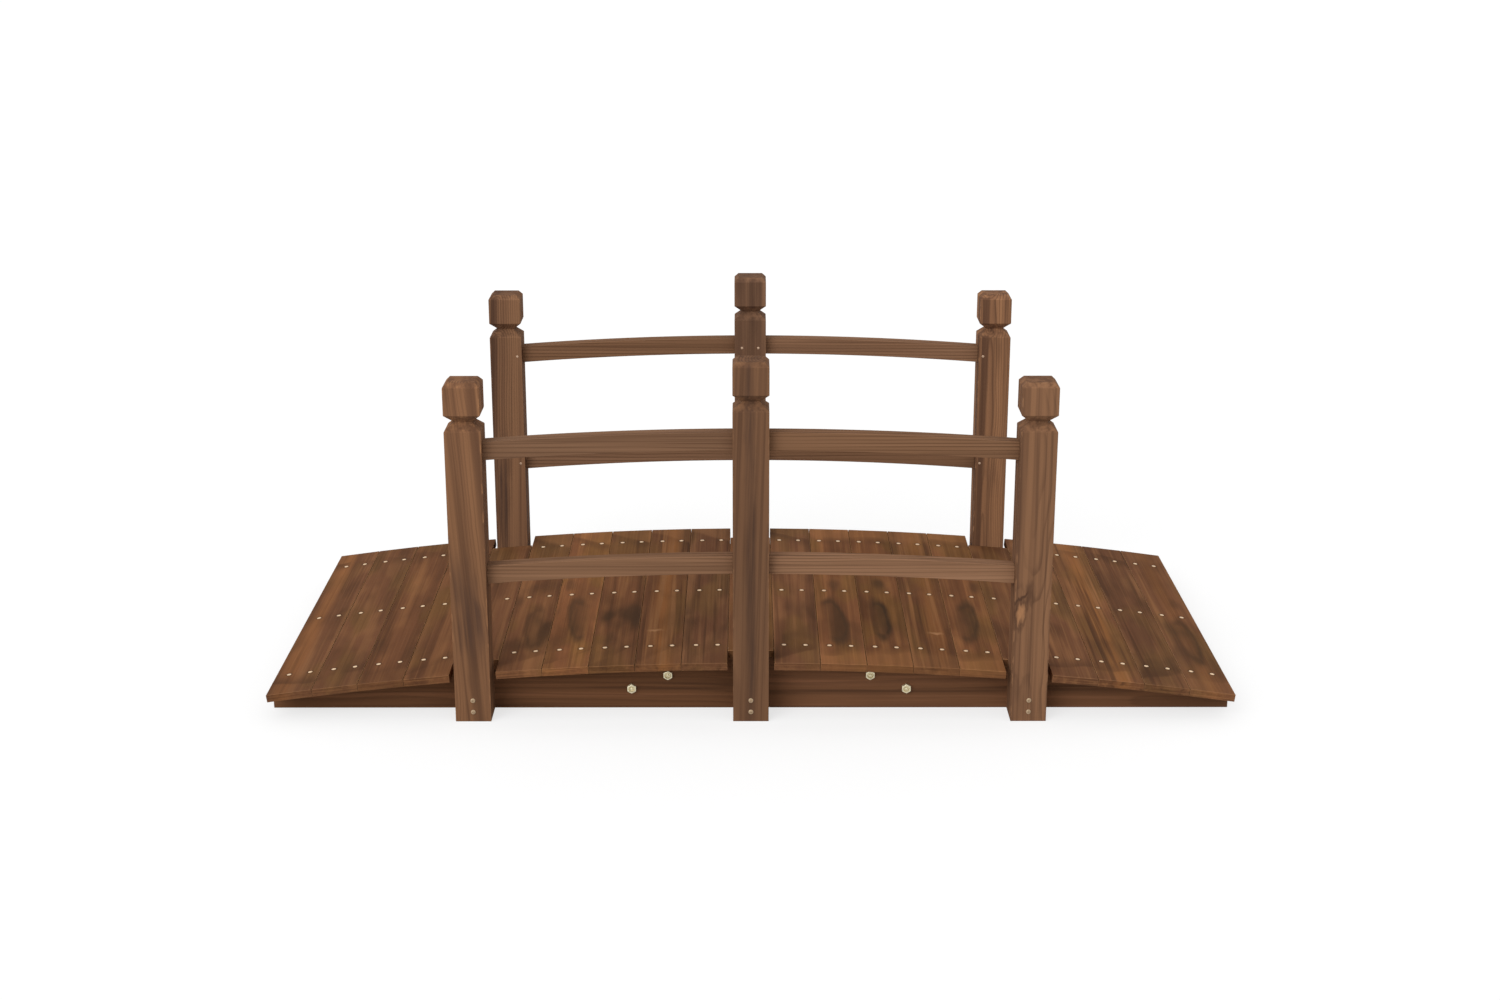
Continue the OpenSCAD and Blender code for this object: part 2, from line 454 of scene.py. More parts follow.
class Wood(Graph):
    """Material of one kind of wooden piece, in the piece's own directions across and along the grain."""

    def __init__(self, name, along, light, dark):
        super().__init__(bpy.data.materials.new(name))
        self.light = light
        self.dark = dark
        point = self.node("ShaderNodeTexCoord", output="Object")
        offset = self.vector("SUBTRACT", point, self.attribute("piece_centre", "Vector"))
        turn = {"Vector": offset, "Angle": self.attribute("piece_tilt")}
        axes = self.split(self.node("ShaderNodeVectorRotate", {"rotation_type": "Y_AXIS"}, turn))
        order = {"x": (2, 1, 0), "y": (0, 2, 1), "z": (0, 1, 2)}[along]
        self.across, self.depth, self.along = [axes[index] for index in order]
        self.normals = self.split(self.node("ShaderNodeNewGeometry", output="Normal"))
        self.end_face = self.smooth(abs(self.normals[order[2]]), 0.8, 0.95)
        seed = self.attribute("grain_seed", "Vector")
        self.seeds = self.split(seed)
        self.slanted = self.across + self.along * self.attribute("grain_slope")
        parts = {"X": self.slanted, "Y": self.depth, "Z": self.along}
        figure = self.node("ShaderNodeCombineXYZ", None, parts)
        self.place = self.vector("MULTIPLY_ADD", seed, SEED_SPREAD, figure)

    def noise(self, across, along, detail=2, roughness=0.5, depth=None):
        """Noise with so many waves to the metre across and along the grain, in depth as across."""
        point = self.vector("MULTIPLY", self.place, (across, depth or across, along))
        inputs = {"Vector": point, "Scale": 1, "Detail": detail, "Roughness": roughness}
        return self.node("ShaderNodeTexNoise", None, inputs)

    def mottled(self, base, field, share):
        """A colour that is paler where a field is low and darker where it is high."""
        base = self.blend(base, self.light, self.smooth(field, 0.48, 0.3) * share)
        return self.blend(base, self.dark, self.smooth(field, 0.52, 0.7) * share)

    def distance(self, *parts):
        """Length of a vector, given as its three or fewer parts."""
        total = parts[0] * parts[0]
        for part in parts[1:]:
            total = total + part * part
        return self.math("SQRT", total)

    def radius(self, parts, sizes):
        """Length of a vector whose parts are each measured in a size of their own."""
        return self.distance(*[part / size for part, size in zip(parts, sizes)])

    def offsets(self, name):
        """Distances across, into and along the grain from the place in one of the object's properties."""
        place = self.split(self.attribute(name, "Vector"))
        return [axis - part for axis, part in zip((self.across, self.depth, self.along), place)]

    def rings(self, pith_across, pith_depth, ring, sway):
        """Growth rings around a pith beside the piece, counted outwards, swaying along the grain."""
        drift = (self.noise(7, 2.2) - 0.5) * sway
        swell = (self.noise(9, 3.1) - 0.5) * sway
        radius = self.distance(self.slanted + pith_across + drift, self.depth + pith_depth + swell)
        return radius / ring + (self.noise(60, 3) - 0.5) * 1.2

    def late_wood(self, rings, low):
        """Dark line at the outer edge of each growth ring, which starts at a share of the ring."""
        return self.band(self.math("FRACT", rings), low, 0.88, 1.0)

    def edge_highlight_mask(self):
        """1 on the narrow rounded edges between a piece's flat faces, where the woods paint a highlight."""
        x, y, z = self.normals
        return self.smooth(abs(x * y) + abs(y * z) + abs(z * x), 0.2, 0.45)

    def finish(self, base, relief, shade=1.0):
        """Ends the material in a matt stained surface, darker or paler by a factor."""
        fibre = self.noise(750, 12, 3, 0.6)
        tinted = {
            "Value": (0.92 + 0.16 * fibre) * self.attribute("tone") * shade,
            "Saturation": self.attribute("warmth"),
            "Color": base,
        }
        bump = {"Strength": 0.35, "Distance": 0.0006, "Height": relief + 0.5 * fibre}
        inputs = {
            "Base Color": self.node("ShaderNodeHueSaturation", None, tinted),
            "Roughness": 0.76 + (fibre - 0.5) * 0.2,
            "Normal": self.node("ShaderNodeBump", None, bump),
            "Specular IOR Level": WOOD_GLOSS,
        }
        self.surface(self.node("ShaderNodeBsdfPrincipled", None, inputs))
        return self.owner


def scorched_oval(grain):
    """Dark oval between a board's front and middle nails, darker on one side, and a smudge behind it."""
    first, second, third = grain.seeds
    side = grain.attribute("oval_side")
    along = grain.along + OVAL_PLACE + (first - 0.5) * 0.05 + (grain.noise(19, 6) - 0.5) * 0.06
    across = grain.across - grain.attribute("oval_shift")
    across = across + (second - 0.5) * 0.016 + along * (third - 0.5) * 0.14
    across = across + (grain.noise(23, 8) - 0.5) * 0.016
    radius = grain.radius((across, along), OVAL_SIZE) + (grain.noise(60, 16) - 0.5) * 0.45
    dark_side = grain.smooth(across * side, -0.012, 0.01)
    darker = grain.math("MAXIMUM", dark_side, grain.smooth(abs(along), 0.03, 0.085))
    inside = (1 - grain.smooth(radius, 0.6, 1.25)) * (0.48 + 0.3 * darker)
    rim = grain.band(radius, 0.25, 0.78, 1.25) * darker
    smudge_offsets = (across - side * SMUDGE_PLACE[0], along - SMUDGE_PLACE[1])
    smudge = (1 - grain.smooth(grain.radius(smudge_offsets, SMUDGE_SIZE), 0.3, 1.3)) * 0.6
    figure = grain.math("MAXIMUM", grain.math("MAXIMUM", inside, rim), smudge)
    return figure * (0.55 + 0.9 * grain.noise(48, 13)) * grain.attribute("oval")


def front_scratch(grain):
    """Scratch across the front half of some boards."""
    along = abs(grain.along + SCRATCH_PLACE + (grain.noise(90, 30) - 0.5) * 0.012)
    across = grain.across * grain.attribute("oval_side")
    scratch = (1 - grain.smooth(along, *SCRATCH_WIDTH)) * grain.band(across, -0.008, 0.012, 0.026)
    return scratch * grain.attribute("scratched")


def nail_stains_and_shade(grain, sizes):
    """Dark rims round a board's nails, partly a stain from the nails and partly painted shade round each
    head.
    """
    rows = nail_rows(sizes)
    rows_middle = (rows["front"] + rows["rear"]) / 2
    rows_half = (rows["rear"] - rows["front"]) / 2
    end_row = abs(abs(grain.along - rows_middle) - rows_half)
    end_row = end_row + 1 - grain.attribute("nailed_ends")
    row = grain.math("MINIMUM", abs(grain.along - rows["middle"]), end_row)
    across = abs(grain.across - grain.attribute("nail_drift")) - sizes.nail_pair / 2
    return 1 - grain.smooth(grain.distance(row, across), *NAIL_RIM)


def deck_wood(wood, sizes):
    """Boards with soft streaks, dark rims at the nails that are partly stain and partly painted shade, and a
    painted highlight along the upper edges; some with ovals, orange bands or a scratch.
    """
    grain = Wood("deck_wood", "y", wood.deck_light, wood.deck_dark)
    chance = grain.seeds[1]
    sway = grain.noise(11, 4) - 0.5
    streaks = grain.noise(85, 1.8, 3, 0.5)
    front_half = grain.band(grain.along, -0.3, -0.14, 0.1)
    blotched = 0.25 + front_half * (0.15 + grain.attribute("blotched"))
    scorch = grain.smooth(grain.noise(19, 7), 0.46, 0.68) * blotched * 0.75
    band_across = grain.across + (chance - 0.5) * 0.03 + sway * 0.03
    orange = grain.band(band_across, -0.026, 0.0, 0.02) * grain.attribute("orange")
    slant = grain.attribute("end_slant")
    reach = abs(grain.along) + sway * 0.06 + grain.across * slant
    pale = grain.smooth(reach, PALE_FROM + 0.026 * slant, PALE_TO)
    border = grain.band(reach, *DARK_BORDER) * grain.smooth(grain.noise(28, 9), 0.3, 0.6)
    border = border * grain.smooth(chance, 0.0, 0.7)
    rear = grain.smooth(grain.along, -0.05, 0.05)
    paleness = grain.attribute("end_paleness") * (1 - rear) + grain.attribute("rear_paleness") * rear
    # Share of the painted highlight on the boards' upper edges, smaller at their ends
    highlighted = 0.9 - 0.6 * grain.smooth(abs(grain.along), EDGE_HIGHLIGHT_FROM, EDGE_HIGHLIGHT_TO)
    base = grain.mottled(wood.deck_colour, grain.noise(34, 1.5), 0.6)
    base = grain.mottled(base, grain.noise(18, 6), 0.5)
    base = grain.blend(base, wood.deck_olive, grain.smooth(grain.noise(16, 5), 0.47, 0.62) * 0.65)
    base = grain.blend(base, wood.deck_orange, orange * 0.75)
    base = grain.mottled(base, streaks, grain.attribute("streaky") * 0.5 + 0.35)
    base = grain.mottled(base, grain.noise(330, 3, 3, 0.65), 0.32)
    base = grain.blend(base, wood.deck_dark, border * 0.6)
    base = grain.blend(base, wood.deck_light, pale * paleness)
    base = grain.blend(base, wood.deck_dark, pale * (1 - rear) * grain.attribute("end_darkness"))
    base = grain.blend(base, wood.deck_scorch_and_shade, scorch)
    base = grain.blend(base, wood.deck_scorch_and_shade, scorched_oval(grain) * 0.9 * (1 - pale))
    base = grain.blend(base, wood.deck_highlight_and_scratch, front_scratch(grain) * 0.6)
    # Stain and painted shade round the nails
    base = grain.blend(base, wood.deck_scorch_and_shade, nail_stains_and_shade(grain, sizes) * 0.6)
    base = grain.mottled(base, grain.noise(14, 1, 3, 0.6, 420), grain.end_face * 0.6)
    base = grain.blend(base, wood.deck_dark, grain.end_face * grain.attribute("end_shade"))
    # Painted highlight along the boards' rounded upper edges
    base = grain.blend(base, wood.deck_highlight_and_scratch, grain.edge_highlight_mask() * highlighted)
    return grain.finish(base, streaks * 0.6)


def dark_flame(grain):
    """Distance from a post's dark flame in units of its size, and the flame's lean and strength."""
    lean, sway, strength = grain.split(grain.attribute("flame_look", "Vector"))
    across, depth, along = grain.offsets("flame_place")
    across = across + along * lean + (grain.noise(20, 14) - 0.5) * sway
    size = grain.split(grain.attribute("flame_size", "Vector"))
    return grain.radius((across, depth, along), size), lean, strength


def knot_bend(grain):
    """Number of growth rings by which a post's knot pushes the grain aside."""
    beside, behind, above = grain.offsets("knot_place")
    near = 1 / (1 + grain.radius((beside, behind, above + KNOT_REACH_DROP), KNOT_REACH) ** 2)
    return near * (1 + (grain.noise(50, 26) - 0.5) * 3)


def with_knot(grain, wood, base):
    """A post's colour with a knot, the dark ring round it, the shade over it and a crack."""
    ragged = grain.noise(240, 75, 3) - 0.5
    beside, behind, above = grain.offsets("knot_place")
    core = grain.radius((beside - above * 0.12, behind, above), KNOT_SIZE) + ragged * 1.6
    heart = (1 - grain.smooth(core, 0.35, 1.1)) * (0.55 + 0.7 * grain.noise(300, 60))
    shade_offsets = (beside - KNOT_SHADE_PLACE[0], behind, above - KNOT_SHADE_PLACE[1])
    shade = grain.radius(shade_offsets, KNOT_SHADE_SIZE) + ragged * 1.2
    crack = abs(above - CRACK_HEIGHT - beside * 0.9 + ragged * 0.014)
    crack = 1 - grain.smooth(crack, 0.0012, 0.004)
    crack = crack * (1 - grain.smooth(grain.distance(beside, behind), 0.008, 0.013))
    base = grain.blend(base, wood.post_dark, grain.band(core, 0.8, 1.15, 1.9) * 0.55)
    base = grain.blend(base, wood.knot_colour, heart)
    base = grain.blend(base, wood.post_dark, (1 - grain.smooth(shade, 0.3, 1.5)) * 0.7)
    return grain.blend(base, wood.post_dark, crack * 0.9)


def post_wood(wood):
    """Posts with uneven streaks, clusters of dark lines, dark flames, chipped edges with a faint painted
    highlight, a painted highlight on the cap, and a knot on some; some are lighter towards the top and darker
    towards the foot.
    """
    grain = Wood("post_wood", "z", wood.post_pale_and_highlight, wood.post_dark)
    first, second = grain.seeds[:2]
    flame, flame_lean, flame_share = dark_flame(grain)
    flame_share = flame_share * (0.4 + 1.1 * grain.smooth(grain.noise(170, 5, 3), 0.35, 0.65))
    clusters = grain.smooth(grain.noise(26, 1.4), 0.35, 0.62)
    rings = grain.rings((first - 0.5) * 0.08, (second - 0.5) * 0.08, 0.0042, 0.03) + knot_bend(grain)
    rings = rings + 2.5 * flame_lean / (0.15 + 0.15 * flame * flame)
    end_rings = grain.late_wood(rings, 0.3) * grain.end_face
    late = grain.late_wood(rings, 0.5) * clusters * grain.attribute("lined")
    bold = (grain.noise(75, 0.5) - 0.5) * 1.6 + 0.5
    half = grain.attribute("half_side")
    edge = grain.smooth(abs(grain.across) - half, -EDGE_WIDTH, 0)
    edge = edge * grain.smooth(abs(grain.depth) - half, -EDGE_WIDTH, 0)
    chips = grain.smooth(grain.noise(160, 45, 3), 0.52, 0.64)
    # Painted highlight on the post's cap
    cap = grain.smooth(grain.along - grain.attribute("half_height"), -CAP_FROM, -CAP_TO)
    # Lighter towards the top and darker towards the foot, on the posts that have it
    upward_tone = (grain.smooth(grain.along, -0.06, 0.16) - 0.5) * grain.attribute("faded")
    base = grain.mottled(wood.post_colour, grain.noise(24, 0.9), 0.7)
    base = grain.mottled(base, bold, grain.attribute("streaky"))
    base = grain.mottled(base, grain.noise(150, 1.7, 3, 0.55), 0.5)
    base = grain.blend(base, wood.post_dark, grain.smooth(grain.noise(36, 5), 0.58, 0.75) * 0.5)
    base = grain.blend(base, wood.post_dark, late * 0.65)
    base = grain.blend(base, wood.post_flame, (1 - grain.smooth(flame, 0.3, 1.4)) * flame_share)
    base = with_knot(grain, wood, base)
    base = grain.blend(base, wood.post_dark, grain.end_face * 0.1 + end_rings * 0.6)
    # Chipped edges, and a faint painted highlight along all of the post's edges
    base = grain.blend(base, wood.post_pale_and_highlight, edge * (0.12 + 0.88 * chips))
    return grain.finish(base, late * 0.4, 1 + upward_tone + cap * grain.attribute("cap_tint"))


def rail_wood(wood):
    """Rails with fine straight lines along their length and a painted highlight on their rounded edges."""
    grain = Wood("rail_wood", "x", wood.rail_pale_and_highlight, wood.rail_dark)
    first, second = grain.seeds[:2]
    rings = grain.rings(0.06 + first * 0.02, 0.04 + second * 0.03, 0.0052, 0.006)
    late = grain.late_wood(rings, 0.55) * grain.smooth(grain.noise(9, 2.4), 0.3, 0.55)
    base = grain.mottled(wood.rail_colour, grain.noise(160, 1.5, 3, 0.55), 0.5)
    base = grain.mottled(base, grain.noise(40, 1.3), 0.45)
    base = grain.blend(base, wood.rail_dark, late * 0.9)
    # Painted highlight along the rails' rounded edges
    base = grain.blend(base, wood.rail_pale_and_highlight, grain.edge_highlight_mask() * 0.6)
    return grain.finish(base, late * 0.4)


def stringer_wood(wood):
    """Stringers and splice plates with broad soft streaks and a painted highlight on their rounded edges."""
    grain = Wood("stringer_wood", "x", wood.stringer_pale_and_highlight, wood.stringer_dark)
    first, second = grain.seeds[:2]
    rings = grain.rings(0.03 + first * 0.03, 0.03 + second * 0.03, 0.009, 0.03)
    late = grain.late_wood(rings, 0.25)
    base = grain.mottled(wood.stringer_colour, grain.noise(90, 1.6, 3, 0.55), 0.75)
    base = grain.blend(base, wood.stringer_dark, late * 0.35)
    base = grain.blend(base, wood.stringer_dark, grain.end_face * 0.25)
    # Painted highlight along the rounded edges
    base = grain.blend(base, wood.stringer_pale_and_highlight, grain.edge_highlight_mask() * 0.6)
    return grain.finish(base, late * 0.4)


def plated_metal(name, tint, metallic, roughness):
    """Plated steel with faint stains and handling marks."""
    graph = Graph(bpy.data.materials.new(name))
    point = graph.node("ShaderNodeTexCoord", output="Object")
    stains = graph.node("ShaderNodeTexNoise", None, {"Vector": point, "Scale": 260, "Detail": 3})
    dull = [share * 0.6 for share in tint]
    base = graph.blend(tint, dull, graph.smooth(stains, 0.5, 0.75) * 0.6)
    height = graph.node("ShaderNodeBump", None, {"Strength": 0.2, "Distance": 0.0002, "Height": stains})
    inputs = {
        "Base Color": base,
        "Metallic": metallic,
        "Roughness": roughness + (stains - 0.5) * 0.3,
        "Normal": height,
    }
    graph.surface(graph.node("ShaderNodeBsdfPrincipled", None, inputs))
    return graph.owner


def ease_edges(piece, radius):
    """Rounds the sanded edges of a CAD node's shown mesh."""
    weld = piece.modifiers.new("weld", "WELD")
    weld.merge_threshold = 1e-6
    bevel = piece.modifiers.new("sanded_edges", "BEVEL")
    bevel.width = radius
    bevel.segments = 2
    bevel.limit_method = "ANGLE"
    bevel.angle_limit = SANDED_ANGLE
    piece.modifiers.new("even_shading", "WEIGHTED_NORMAL")


def top_of(name):
    """Middle and upward normal of a board's top face."""
    mesh = NODES[name].data
    faces = [face for face in mesh.polygons if face.normal.z > 0.95]
    area = sum(face.area for face in faces)
    if not faces:
        raise RuntimeError(f"{name} has no top face")
    centre = sum((face.center * face.area for face in faces), Vector()) / area
    normal = sum((face.normal * face.area for face in faces), Vector()).normalized()
    return centre, normal


def is_long(name):
    """True for a board that runs past the posts' inner faces."""
    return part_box(name)[1].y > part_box("rear_centre_post")[0].y


def nail_rows(sizes):
    """Place across the bridge of each row of deck nails."""
    return {row: middle(f"{row}_stringer_left").y + shift for row, shift in zip(ROWS, sizes.nail_shifts)}


def nail_drift(name, sizes):
    """Distance of a board's nails to the right of its middle line."""
    x = middle(name).x
    return -math.copysign(sizes.nail_drift, x) if abs(x) > sizes.nail_drift else 0.0


def end_height(name, x):
    """Middle height of a rail's end face."""
    heights = [vertex.co.z for vertex in NODES[name].data.vertices if abs(vertex.co.x - x) < 1e-5]
    return (min(heights) + max(heights)) / 2


def dress(names, material, radius):
    """Puts a wood on CAD nodes of one kind and gives each its own cut of the grain."""
    for name in names:
        piece = NODES[name]
        low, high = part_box(name)
        dice = random.Random(f"{SEED} {name}")
        piece["piece_centre"] = list((low + high) / 2)
        piece["piece_tilt"] = 0.0
        piece["grain_slope"] = GRAIN_SLOPES.get(name, 0.0)
        piece["grain_seed"] = [dice.random() for axis in range(3)]
        piece["tone"] = TONES.get(name, dice.uniform(0.95, 1.05))
        piece["warmth"] = WARMTHS.get(name, dice.uniform(0.98, 1.02))
        piece.data.materials.clear()
        piece.data.materials.append(material)
        ease_edges(piece, radius)


def loft(rings):
    """Points and faces of a closed skin through rings of points."""
    count = len(rings[0])
    points = [Vector(point) for ring in rings for point in ring]
    faces = []
    for level in range(len(rings) - 1):
        low = level * count
        for step in range(count):
            turn = (step + 1) % count
            faces.append((low + step, low + turn, low + count + turn, low + count + step))
    faces.append(tuple(reversed(range(count))))
    faces.append(tuple(range(len(points) - count, len(points))))
    return points, faces


def turned(profile, count):
    """Round shape from (radius, height) pairs, bottom first."""
    angles = [2 * math.pi * step / count for step in range(count)]
    return loft([[(r * math.cos(a), r * math.sin(a), z) for a in angles] for r, z in profile])


def domed_head(diameter, height, count=20):
    """A nail's head, crowned a little and rounded at its rim."""
    r = diameter / 2
    profile = [(r * 0.92, -HEAD_SINK), (r, height * 0.2), (r * 0.97, height * 0.5)]
    profile += [(r * 0.84, height * 0.78), (r * 0.55, height * 0.94), (r * 0.2, height)]
    return turned(profile, count)


def hexagon(flats, height, base=0.0, count=48):
    """A hexagon head whose upper corners are turned off by a cone and whose top is dished."""
    angles = [2 * math.pi * step / count for step in range(count)]
    reach = [flats / 2 / math.cos((a + math.pi / 6) % (math.pi / 3) - math.pi / 6) for a in angles]
    top = flats / 2 * 0.93
    levels = [(reach, [base] * count), (reach, [base + height - (r - top) * 0.55 for r in reach])]
    dish = [(1.0, 0.0), (0.8, 0.0002), (0.7, -0.0006), (0.55, -0.0026)]
    dish += [(0.4, -0.0026), (0.25, -0.0008), (0.08, -0.0002)]
    levels += [([top * share] * count, [base + height + rise] * count) for share, rise in dish]
    rings = []
    for radii, heights in levels:
        rings.append([(r * math.cos(a), r * math.sin(a), z) for r, z, a in zip(radii, heights, angles)])
    return loft(rings)


def washer(outer, height):
    """A flat washer with a rounded rim."""
    r = outer / 2
    return turned([(r * 0.97, -WASHER_SINK), (r, height * 0.4), (r * 0.96, height), (r * 0.4, height)], 32)


def threaded_end(diameter, start, end):
    """The bolt's end with its thread, chamfered at the tip."""
    r = diameter / 2
    root = r * 0.88
    profile = [(root, start)]
    turns = int((end - start) / THREAD_PITCH) - 1
    for turn in range(turns):
        profile.append((r, start + (turn + 0.5) * THREAD_PITCH))
        profile.append((root, start + (turn + 1) * THREAD_PITCH))
    profile.append((r * 0.7, end))
    return turned(profile, 24)


def joined(*shapes):
    """One set of points and faces out of several."""
    points = []
    faces = []
    for shape_points, shape_faces in shapes:
        start = len(points)
        points.extend(shape_points)
        faces.extend(tuple(start + index for index in face) for face in shape_faces)
    return points, faces


def place_copies(name, shape, places, material):
    """A piece made of copies of a shape, one at each place."""
    copies = [([place @ point for point in shape[0]], shape[1]) for place in places]
    points, faces = joined(*copies)
    mesh = bpy.data.meshes.new(name)
    mesh.from_pydata(points, [], faces)
    mesh.validate()
    mesh.shade_smooth()
    mesh.set_sharp_from_angle(angle=SHARP_ANGLE)
    mesh.materials.append(material)
    piece = bpy.data.objects.new(name, mesh)
    bpy.context.scene.collection.objects.link(piece)
    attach(piece, "root")


def facing(place, direction):
    """Matrix that sets a shape's own Z on a direction at a place."""
    return Matrix.Translation(place) @ Vector(direction).to_track_quat("Z", "Y").to_matrix().to_4x4()


def upright(place, direction):
    """Matrix for a shape on an upright face, with its own Y turned up."""
    outward = Vector(direction)
    side = Vector((0, 0, 1)).cross(outward)
    turn = Matrix((side, Vector((0, 0, 1)), outward)).transposed().to_4x4()
    return Matrix.Translation(place) @ turn


def cut(shape, cutter):
    """A shape with a cutter taken out of it."""
    pieces = []
    for label, (points, faces) in (("shape", shape), ("cutter", cutter)):
        mesh = bpy.data.meshes.new(label)
        mesh.from_pydata(points, [], faces)
        piece = bpy.data.objects.new(label, mesh)
        bpy.context.scene.collection.objects.link(piece)
        pieces.append(piece)
    modifier = pieces[0].modifiers.new("cut", "BOOLEAN")
    modifier.object = pieces[1]
    modifier.operation = "DIFFERENCE"
    modifier.solver = "EXACT"
    shown = pieces[0].evaluated_get(bpy.context.evaluated_depsgraph_get()).to_mesh()
    points = [vertex.co.copy() for vertex in shown.vertices]
    faces = [tuple(face.vertices) for face in shown.polygons]
    for piece in pieces:
        bpy.data.objects.remove(piece)
    return points, faces


def cross_cutter(reach, width, low, high):
    """Cutter for a screw's cross recess, tapered towards its bottom."""
    h = width / 2
    outline = [
        (reach, h), (h, h), (h, reach), (-h, reach), (-h, h), (-reach, h),
        (-reach, -h), (-h, -h), (-h, -reach), (h, -reach), (h, -h), (reach, -h),
    ]
    bottom = [(x * RECESS_TAPER, y * RECESS_TAPER, low) for x, y in outline]
    top = [(x, y, high) for x, y in outline]
    return loft([bottom, top])


class BRIDGE_OT_finish_deck(bpy.types.Operator):
    """Stain the deck boards"""

    bl_idname = "bridge.finish_deck"
    bl_label = "Finish deck"

    def execute(self, context):
        wood = context.scene.bridge_wood
        sizes = context.scene.bridge_fasteners
        dress(BOARDS, deck_wood(wood, sizes), wood.edge_radius)
        for name in BOARDS:
            board = NODES[name]
            number = int(name[-2:])
            centre, normal = top_of(name)
            board["piece_tilt"] = -math.atan2(normal.x, normal.z)
            # Painted light: middle boards brighter against the rails' and posts' shadows, outer ones darker
            board["tone"] *= CROWN_PAINTED_LIGHT - PAINTED_LIGHT_END_LOSS * abs(centre.x) / CAD_BOX[1].x
            board["nailed_ends"] = float(is_long(name))
            board["nail_drift"] = nail_drift(name, sizes)
            board["oval_side"] = math.copysign(1.0, centre.x)
            board["end_slant"] = SLANTED_ENDS.get(number, 0.1)
            board["end_paleness"] = PALE_ENDS.get(number, 0.14 + 0.34 * board["grain_seed"][2])
            board["rear_paleness"] = PALE_REAR_ENDS.get(number, board["end_paleness"])
            for mark, boards in BOARD_MARKS.items():
                board[mark] = boards.get(number, 0.0)
        return {"FINISHED"}


class BRIDGE_OT_finish_posts(bpy.types.Operator):
    """Stain the posts"""

    bl_idname = "bridge.finish_posts"
    bl_label = "Finish posts"

    def execute(self, context):
        wood = context.scene.bridge_wood
        dress(POSTS, post_wood(wood), wood.edge_radius)
        for name in POSTS:
            post = NODES[name]
            low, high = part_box(name)
            post["half_side"] = (high.x - low.x) / 2
            post["half_height"] = (high.z - low.z) / 2
            post["knot_place"] = KNOTS.get(name, FAR_AWAY)
            post["flame_place"], post["flame_size"], post["flame_look"] = FLAMES.get(name, NO_FLAME)
            for mark, (usual, posts) in POST_MARKS.items():
                post[mark] = posts.get(name, usual)
        return {"FINISHED"}


class BRIDGE_OT_finish_rails(bpy.types.Operator):
    """Stain the rails"""

    bl_idname = "bridge.finish_rails"
    bl_label = "Finish rails"

    def execute(self, context):
        wood = context.scene.bridge_wood
        dress(RAILS, rail_wood(wood), wood.edge_radius)
        return {"FINISHED"}


class BRIDGE_OT_finish_stringers(bpy.types.Operator):
    """Stain the stringers and their splice plates"""

    bl_idname = "bridge.finish_stringers"
    bl_label = "Finish stringers"

    def execute(self, context):
        wood = context.scene.bridge_wood
        dress(STRINGERS + PLATES, stringer_wood(wood), wood.edge_radius)
        return {"FINISHED"}


class BRIDGE_OT_drive_deck_nails(bpy.types.Operator):
    """Nail the boards to the stringers, the short ones to the middle stringer alone"""

    bl_idname = "bridge.drive_deck_nails"
    bl_label = "Drive deck nails"

    def execute(self, context):
        sizes = context.scene.bridge_fasteners
        places = []
        for name in BOARDS:
            centre, normal = top_of(name)
            sideways = Vector((0, 1, 0)).cross(normal)
            for row, y in nail_rows(sizes).items():
                if row != "middle" and not is_long(name):
                    continue
                for side in (-1, 1):
                    spot = centre + sideways * (side * sizes.nail_pair / 2 + nail_drift(name, sizes))
                    spot.y = y
                    places.append(facing(spot, normal))
        head = domed_head(sizes.nail_head, NAIL_RISE)
        metal = plated_metal("nail_steel", sizes.nail_colour, metallic=0.2, roughness=0.45)
        place_copies("deck_nails", head, places, metal)
        return {"FINISHED"}


class BRIDGE_OT_drive_rail_nails(bpy.types.Operator):
    """Nail the rails' ends through the posts' inner faces"""

    bl_idname = "bridge.drive_rail_nails"
    bl_label = "Drive rail nails"

    def execute(self, context):
        sizes = context.scene.bridge_fasteners
        places = []
        for name in RAILS:
            side, half = name.split("_")[:2]
            inward = 1 if side == "front" else -1
            low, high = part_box(name)
            outer_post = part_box(f"{side}_{half}_post")
            centre_post = middle(f"{side}_centre_post")
            face_y = outer_post[1].y if side == "front" else outer_post[0].y
            outer = -1 if half == "left" else 1
            end_x = low.x if half == "left" else high.x
            inner_x = high.x if half == "left" else low.x
            spots = (
                (end_x + outer * sizes.rail_nail_inset, end_height(name, end_x)),
                (centre_post.x + outer * sizes.rail_nail_pair / 2, end_height(name, inner_x)),
            )
            places += [upright((x, face_y, z), (0, inward, 0)) for x, z in spots]
        head = domed_head(sizes.rail_nail_head, RAIL_NAIL_RISE)
        metal = plated_metal("rail_nail_steel", sizes.rail_nail_colour, metallic=0.2, roughness=0.5)
        place_copies("rail_nails", head, places, metal)
        return {"FINISHED"}


class BRIDGE_OT_drive_foot_screws(bpy.types.Operator):
    """Screw the posts' feet to the stringers"""

    bl_idname = "bridge.drive_foot_screws"
    bl_label = "Drive foot screws"

    def execute(self, context):
        sizes = context.scene.bridge_fasteners
        head = cut(
            domed_head(sizes.screw_head, SCREW_RISE, 28),
            cross_cutter(sizes.screw_head * RECESS_SHARE, RECESS_WIDTH, RECESS_FLOOR, SCREW_RISE + 0.001),
        )
        places = []
        for name in POSTS:
            outward = -1 if name.startswith("front") else 1
            low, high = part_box(name)
            face_y = low.y if outward < 0 else high.y
            for z in (sizes.screw_low, sizes.screw_high):
                places.append(upright(((low.x + high.x) / 2, face_y, z), (0, outward, 0)))
        metal = plated_metal("screw_steel", sizes.screw_colour, metallic=0.35, roughness=0.5)
        place_copies("foot_screws", head, places, metal)
        return {"FINISHED"}


